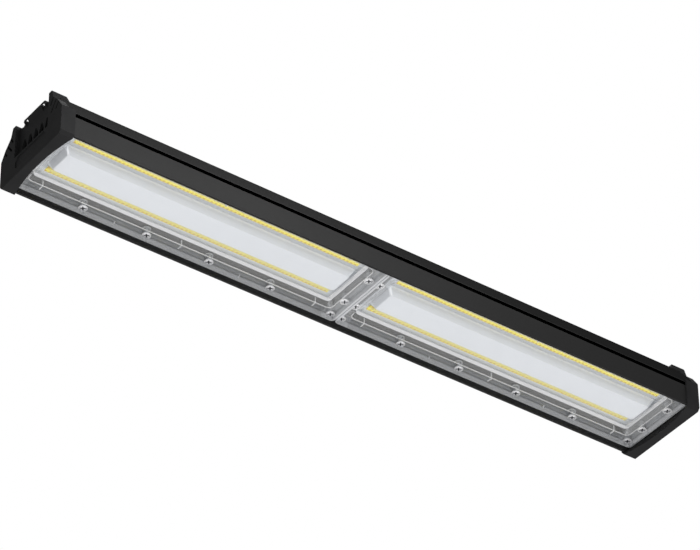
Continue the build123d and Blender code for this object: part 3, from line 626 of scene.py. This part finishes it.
def flat_ring(outer, wall, low, high):
    """A flat upright ring round the origin."""
    bpy.ops.mesh.primitive_cylinder_add(vertices=28, radius=outer, depth=high - low, end_fill_type="NOTHING",
                                        location=(0.0, 0.0, 0.0))
    ring = bpy.context.object
    bpy.ops.object.mode_set(mode="EDIT")
    bpy.ops.mesh.select_all(action="SELECT")
    bpy.ops.transform.translate(value=(0.0, 0.0, (low + high) / 2))
    bpy.ops.mesh.normals_make_consistent(inside=False)
    bpy.ops.object.mode_set(mode="OBJECT")
    thick = ring.modifiers.new("wall", "SOLIDIFY")
    thick.thickness = wall
    thick.offset = -1.0
    bpy.ops.object.modifier_apply(modifier=thick.name)
    bpy.ops.object.shade_smooth_by_angle(angle=smooth_angle)
    return ring


def screw_places(middle):
    """Where the 16 screws of one cover stand: a row along each side, and two more at each end."""
    pitch = 2 * screw_half_length / (screws_along - 1)
    places = []
    for y_side in (-1, 1):
        for number in range(screws_along):
            places.append((middle - screw_half_length + number * pitch, y_side * screw_half_width))
        for end in (-1, 1):
            places.append((middle + end * screw_half_length, y_side * end_screw_offset))
    return places


def copies(first, name, places):
    """One piece made of a copy of the first at each place."""
    made = []
    for x, y in places:
        twin = first.copy()
        twin.data = first.data.copy()
        twin.data.transform(Matrix.Translation((x, y, 0.0)))
        bpy.context.collection.objects.link(twin)
        made.append(twin)
    bpy.ops.object.select_all(action="DESELECT")
    for twin in made:
        twin.select_set(True)
    bpy.context.view_layer.objects.active = made[0]
    bpy.ops.object.join()
    whole = bpy.context.object
    whole.name = name
    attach(whole, "root")
    return whole


rib_milk, rib_shader, rib_place = new_material("polycarbonate_rib", colour=(0.95, 0.95, 0.95), roughness=0.3)
rib_clear = rib_milk.node_tree.nodes.new("ShaderNodeBsdfTransparent")
rib_clouds = noise(rib_milk, rib_place, size=0.002)
rib_share = sum_of(rib_milk, "MULTIPLY_ADD", rib_clouds, 0.2, 0.55)
rib_surface = blend(rib_milk, rib_share, rib_clear.outputs["BSDF"], rib_shader.outputs["BSDF"])
rib_output = rib_milk.node_tree.nodes["Material Output"]
rib_milk.node_tree.links.new(rib_surface, rib_output.inputs["Surface"])

first_rim = flat_ring(outer=0.0043, wall=0.0007, low=0.0121, high=0.0125)
first_boss = flat_ring(outer=0.0041, wall=0.0011, low=0.0192, high=0.0199)
for side in sides:
    middle = cover_middle[side]
    ribs = []
    for offset in rib_places:
        start = middle + offset - rib_half_thickness
        end = middle + offset + rib_half_thickness
        for y_side in (-1, 1):
            for width, height in ((upright_width, upright_height), (foot_width, foot_height)):
                inner, outer = sorted((y_side * width[0], y_side * width[1]))
                ribs.append(((start, inner, height[0]), (end, outer, height[1])))
    paint(joined_boxes(f"flange_ribs_{side}", ribs), rib_milk)
    rims = screw_places(middle)
    bosses = [(x, y) for x, y in rims if abs(x - middle) < boss_reach and abs(y) > boss_least_offset]
    paint(copies(first_rim, f"screw_rims_{side}", rims), rib_milk)
    paint(copies(first_boss, f"boss_rims_{side}", bosses), rib_milk)
bpy.data.objects.remove(first_rim)
bpy.data.objects.remove(first_boss)


# Cover screws: 16 pan-head machine screws round each cover, of steel, zinc plated bright, with a cross
# recess for the driver. They go up through the cover and the gasket into the housing.

head_face = 0.0121
head_radius = 0.0034
head_height = 0.0022
head_rounding = 0.0011
shank_radius = 0.0020
shank_top = 0.0245
cross_length = 0.0050
cross_width = 0.0013
cross_height = 0.0010
cross_middle = 0.01256
cross_turn = 0.6


def pan_head():
    """A domed head under its seat, with the shank above it."""
    head_middle = head_face + head_height / 2
    shank_foot = head_face + head_height
    bpy.ops.mesh.primitive_cylinder_add(vertices=32, radius=head_radius, depth=head_height,
                                        location=(0.0, 0.0, 0.0))
    head = bpy.context.object
    bpy.ops.object.mode_set(mode="EDIT")
    bpy.ops.mesh.select_all(action="SELECT")
    bpy.ops.transform.translate(value=(0.0, 0.0, head_middle))
    bpy.ops.mesh.select_all(action="DESELECT")
    bpy.ops.mesh.primitive_cylinder_add(vertices=20, radius=shank_radius, depth=shank_top - shank_foot,
                                        location=(0.0, 0.0, (shank_foot + shank_top) / 2))
    bpy.ops.object.mode_set(mode="OBJECT")
    vertices = head.data.vertices
    for vertex in vertices:
        vertex.select = vertex.co.z < head_middle - head_rounding / 2
    for part in (*head.data.edges, *head.data.polygons):
        part.select = all(vertices[index].select for index in part.vertices)
    bpy.ops.object.mode_set(mode="EDIT")
    bpy.ops.mesh.bevel(offset=head_rounding, segments=4, affect="EDGES")
    bpy.ops.object.mode_set(mode="OBJECT")
    bpy.ops.object.shade_smooth_by_angle(angle=smooth_angle)
    return head


def drive_cross():
    """The cross recess, shown by a dark cross of painted shade."""
    bpy.ops.mesh.primitive_cube_add(size=1.0, location=(0.0, 0.0, 0.0))
    cross = bpy.context.object
    bpy.ops.object.mode_set(mode="EDIT")
    bpy.ops.mesh.select_all(action="SELECT")
    bpy.ops.transform.resize(value=(cross_length, cross_width, cross_height))
    bpy.ops.mesh.select_all(action="DESELECT")
    bpy.ops.mesh.primitive_cube_add(size=1.0, location=(0.0, 0.0, 0.0))
    bpy.ops.transform.resize(value=(cross_width, cross_length, cross_height))
    bpy.ops.mesh.select_all(action="SELECT")
    bpy.ops.transform.translate(value=(0.0, 0.0, cross_middle))
    bpy.ops.transform.rotate(value=cross_turn, orient_axis="Z", center_override=(0.0, 0.0, 0.0))
    bpy.ops.object.mode_set(mode="OBJECT")
    return cross


head_zinc, head_shader, head_place = new_material(
    "bright_zinc_heads", colour=(0.80, 0.80, 0.82), roughness=0.22, metallic=0.35)
head_grain = noise(head_zinc, head_place, size=0.0007)
vary_colour(head_zinc, head_shader, head_grain, dark=(0.82, 0.82, 0.84), light=(0.93, 0.93, 0.95))
vary_roughness(head_zinc, head_shader, head_grain, low=0.18, high=0.34)
# painted shade: the crosses are painted dark for the shade inside the recess
recess_shade_paint, recess_shader, recess_place = new_material(
    "drive_recess_painted_shade", colour=(0.03, 0.03, 0.035), roughness=0.5)
recess_grain = noise(recess_shade_paint, recess_place, size=0.0006)
vary_roughness(recess_shade_paint, recess_shader, recess_grain, low=0.4, high=0.6)

first_head = pan_head()
first_cross = drive_cross()
for side in sides:
    places = screw_places(cover_middle[side])
    heads = copies(first_head, f"pan_screws_{side}", places)
    paint(heads, head_zinc)
    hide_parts(f"cover_screws_{side}")
    crosses = copies(first_cross, f"drive_recesses_{side}", places)
    paint(crosses, recess_shade_paint)
bpy.data.objects.remove(first_head)
bpy.data.objects.remove(first_cross)


# End caps: two black moulded plastic caps with posts, an arched lower lip, pointed air openings and
# slanted slots. They have a fine sparked texture and are held from above by hidden screws.

moulded_black, moulded_shader, moulded_place = new_material(
    "black_moulded_plastic", colour=(0.021, 0.021, 0.022), roughness=0.55, gloss=0.04)
moulded_grain = noise(moulded_black, moulded_place, size=0.0008, detail=4.0)
moulded_clouds = noise(moulded_black, moulded_place, size=0.02)
vary_colour(moulded_black, moulded_shader, moulded_clouds,
            dark=(0.019, 0.019, 0.0195), light=(0.023, 0.023, 0.0235))
vary_roughness(moulded_black, moulded_shader, moulded_grain, low=0.45, high=0.62)
add_relief(moulded_black, moulded_shader, moulded_grain, height=0.00003)
for side in sides:
    cap = softened(f"end_cap_{side}", f"moulded_cap_{side}", width=0.0003, segments=1, angle=0.3)
    paint(cap, moulded_black)
    dress(f"end_cap_screws_{side}", bright_zinc)


# Studio: a pale floor far below the fixture, a white surround, and three soft lamps. A long one hangs
# close beside the fixture, one stands low on its near side, and one hangs high on its far side.

floor_height = -3.0
floor_size = 14.0
floor_glow = 0.83
surround_strength = 0.15
mirrored_share = 0.25

world = bpy.data.worlds.new("studio")
bpy.context.scene.world = world
world.use_nodes = True
world_nodes = world.node_tree.nodes
surround = world_nodes["Background"]
surround.inputs["Color"].default_value = (1.0, 1.0, 1.0, 1.0)
surround.inputs["Strength"].default_value = surround_strength
backdrop = world_nodes.new("ShaderNodeBackground")
backdrop.inputs["Color"].default_value = (1.0, 1.0, 1.0, 1.0)
backdrop.inputs["Strength"].default_value = 1.0
ray = world_nodes.new("ShaderNodeLightPath")
straight = sum_of(world, "MAXIMUM", ray.outputs["Is Camera Ray"], ray.outputs["Is Transmission Ray"])
seen = sum_of(world, "MULTIPLY_ADD", ray.outputs["Is Glossy Ray"], mirrored_share, straight)
seen.node.use_clamp = True
world_surface = blend(world, seen, surround.outputs["Background"], backdrop.outputs["Background"])
world.node_tree.links.new(world_surface, world_nodes["World Output"].inputs["Surface"])

bpy.ops.mesh.primitive_plane_add(size=floor_size, location=(0.0, 0.0, floor_height))
floor = bpy.context.object
floor.name = "floor"
floor.data.transform(floor.matrix_world)
floor.matrix_world = Matrix.Identity(4)
floor_paint, floor_shader, floor_place = new_material("pale_floor", colour=(0.8, 0.8, 0.8), roughness=0.8)
floor_clouds = noise(floor_paint, floor_place, size=0.8)
vary_colour(floor_paint, floor_shader, floor_clouds, dark=(0.79, 0.79, 0.79), light=(0.81, 0.81, 0.81))
floor_shader.inputs["Emission Color"].default_value = (1.0, 1.0, 1.0, 1.0)
floor_shader.inputs["Emission Strength"].default_value = floor_glow
floor.data.materials.append(floor_paint)


def soft_lamp(name, place, aim, length, height, power):
    """A rectangular area lamp at place that shines at aim."""
    lamp = bpy.data.lights.new(name, "AREA")
    lamp.shape = "RECTANGLE"
    lamp.size = length
    lamp.size_y = height
    lamp.energy = power
    holder = bpy.data.objects.new(name, lamp)
    bpy.context.collection.objects.link(holder)
    holder.location = place
    holder.rotation_euler = (Vector(aim) - Vector(place)).to_track_quat("-Z", "Y").to_euler()


soft_lamp("lamp_beside", place=(-0.11, -0.47, 0.20), aim=(-0.11, 0.0, 0.03),
          length=0.55, height=0.1, power=3.1)
soft_lamp("lamp_low_near", place=(-1.2, -1.2, -1.3), aim=(0.0, 0.0, 0.0), length=1.0, height=1.0, power=4.0)
soft_lamp("lamp_above", place=(0.4, 1.2, 2.0), aim=(0.0, 0.0, 0.0), length=1.6, height=1.6, power=10.0)


# Camera: it stands low and to the left and looks up at the light side, turned so that the fixture runs
# across the picture from the upper left to the lower right.

camera_place = Vector((-1.7522, -2.3846, -2.2570))
camera_right = Vector((0.8116216, -0.5841298, -0.0079141))
camera_up = Vector((-0.3525953, -0.5006265, 0.7906008))
lens_length = 209.05
sensor_width = 36.0
farthest_view = 30.0

camera_back = camera_right.cross(camera_up)
camera_turn = Matrix((camera_right, camera_up, camera_back)).transposed().to_4x4()
camera_data = bpy.data.cameras.new("photo_camera")
camera_data.lens = lens_length
camera_data.sensor_width = sensor_width
camera_data.clip_end = farthest_view
camera = bpy.data.objects.new("photo_camera", camera_data)
bpy.context.collection.objects.link(camera)
camera.matrix_world = Matrix.Translation(camera_place) @ camera_turn
bpy.context.scene.camera = camera
bpy.context.scene.view_settings.view_transform = "Standard"
